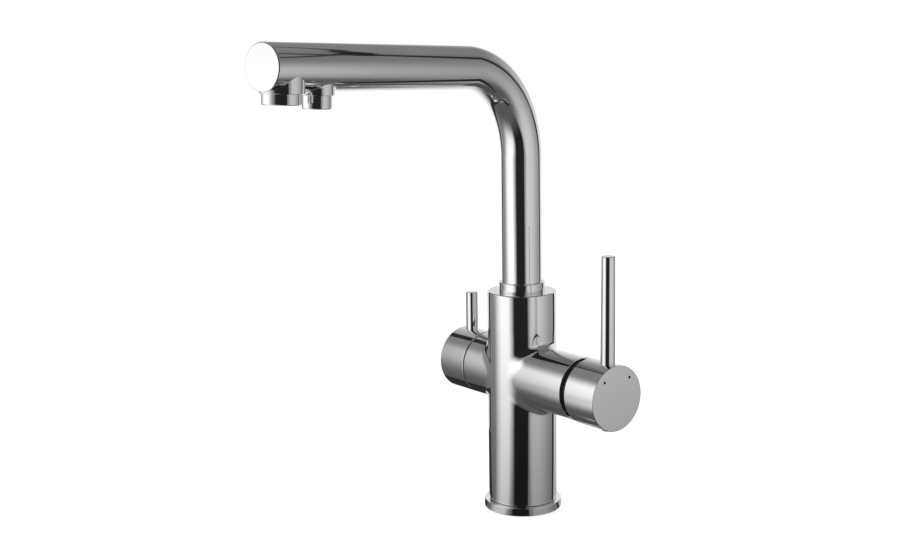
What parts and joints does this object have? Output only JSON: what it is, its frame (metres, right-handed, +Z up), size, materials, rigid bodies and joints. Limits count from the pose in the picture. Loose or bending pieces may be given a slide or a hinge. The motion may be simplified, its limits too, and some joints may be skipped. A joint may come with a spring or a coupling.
{
  "type": "three way kitchen tap",
  "caption": "Deck-mounted kitchen tap with a round body, cross arms carrying a mixing lever and a quarter-turn filter lever, and a swivelling bent spout with separate outlets.",
  "frame": {"origin": "centre of the tap's foot, on the worktop", "axes": "+Z up along the column; +X out along the main lever's barrel; -X along the filter lever's barrel; -Y to the front of the sink"},
  "size_m": [0.1594, 0.2675, 0.3368],
  "materials": {
    "chrome": "polished",
    "brass": "satin",
    "steel": "satin",
    "rubber": "matte",
    "white_plastic": "matte",
    "black_plastic": "satin",
    "plug_plastic": "gloss",
    "ceramic": "satin",
    "index_enamel": "gloss"
  },
  "bodies": {
    "tap_body": {"main_body": "chrome", "base_flange": "chrome", "base_gasket": "rubber", "inlet_block": "brass", "inlet_block_screws": "steel", "inlet_seals": "rubber", "spout_collar": "chrome", "spout_retaining_screw": "steel", "lower_swivel_bush": "white_plastic", "upper_swivel_bush": "white_plastic", "filtered_water_stub": "brass", "stub_o_rings": "rubber", "cartridge_housing": "black_plastic", "cartridge_base_seals": "rubber", "cartridge_fixed_disc": "ceramic", "cartridge_retaining_nut": "brass", "dome_cover": "chrome", "headwork_housing": "brass", "headwork_body_o_ring": "rubber", "headwork_seat_seal": "rubber", "headwork_fixed_disc": "ceramic"},
    "spout": {"spout_tube": "chrome", "spout_base_insert": "brass", "spout_o_rings": "rubber", "filtered_tube_socket": "brass", "filtered_water_tube": "white_plastic", "filter_outlet_adapter": "brass", "filter_outlet_ring": "chrome", "filter_flow_insert": "white_plastic", "filter_outlet_washer": "rubber", "main_aerator_ring": "chrome", "main_aerator_insert": "white_plastic", "main_aerator_screen": "steel", "main_aerator_washer": "rubber", "spout_end_cap": "chrome", "end_cap_o_ring": "rubber"},
    "temperature_rotor": {"cartridge_rotor": "black_plastic", "rotor_o_ring": "rubber", "spindle_pivot_pin": "steel"},
    "main_lever": {"cartridge_spindle": "brass", "main_handle_barrel": "chrome", "main_lever_pin": "chrome", "handle_grub_screw": "steel", "lever_screw_plug": "plug_plastic", "index_dots": "index_enamel"},
    "mixing_disc": {"cartridge_moving_disc": "ceramic", "disc_carrier": "black_plastic"},
    "filter_lever": {"headwork_spindle": "brass", "headwork_moving_disc": "ceramic", "headwork_spindle_o_ring": "rubber", "filter_handle_barrel": "chrome", "filter_lever_pin": "chrome", "filter_grub_screw": "steel", "filter_screw_plug": "plug_plastic"}
  },
  "joints": [
    {"name": "spout_swivel", "type": "hinge", "parent": "tap_body", "child": "spout", "pos_m": [0, 0, 0.15], "axis": [0, 0, 1], "continuous": true},
    {"name": "main_temperature", "type": "hinge", "parent": "tap_body", "child": "temperature_rotor", "pos_m": [0.06, 0, 0.0976], "axis": [1, 0, 0], "range_deg": [-45, 45]},
    {"name": "main_flow", "type": "hinge", "parent": "temperature_rotor", "child": "main_lever", "pos_m": [0.06, 0, 0.0976], "axis": [0, 1, 0], "range_deg": [0, 12]},
    {"name": "disc_slide", "type": "slide", "parent": "temperature_rotor", "child": "mixing_disc", "axis": [0, 0, 1], "range_m": [0, 0.00297]},
    {"name": "filter_quarter_turn", "type": "hinge", "parent": "tap_body", "child": "filter_lever", "pos_m": [-0.04, 0, 0.0976], "axis": [1, 0, 0], "range_deg": [0, 90]}
  ],
  "couplings": [
    {"joint": "disc_slide", "follows": "main_flow", "m_per_rad": 0.0142}
  ]
}
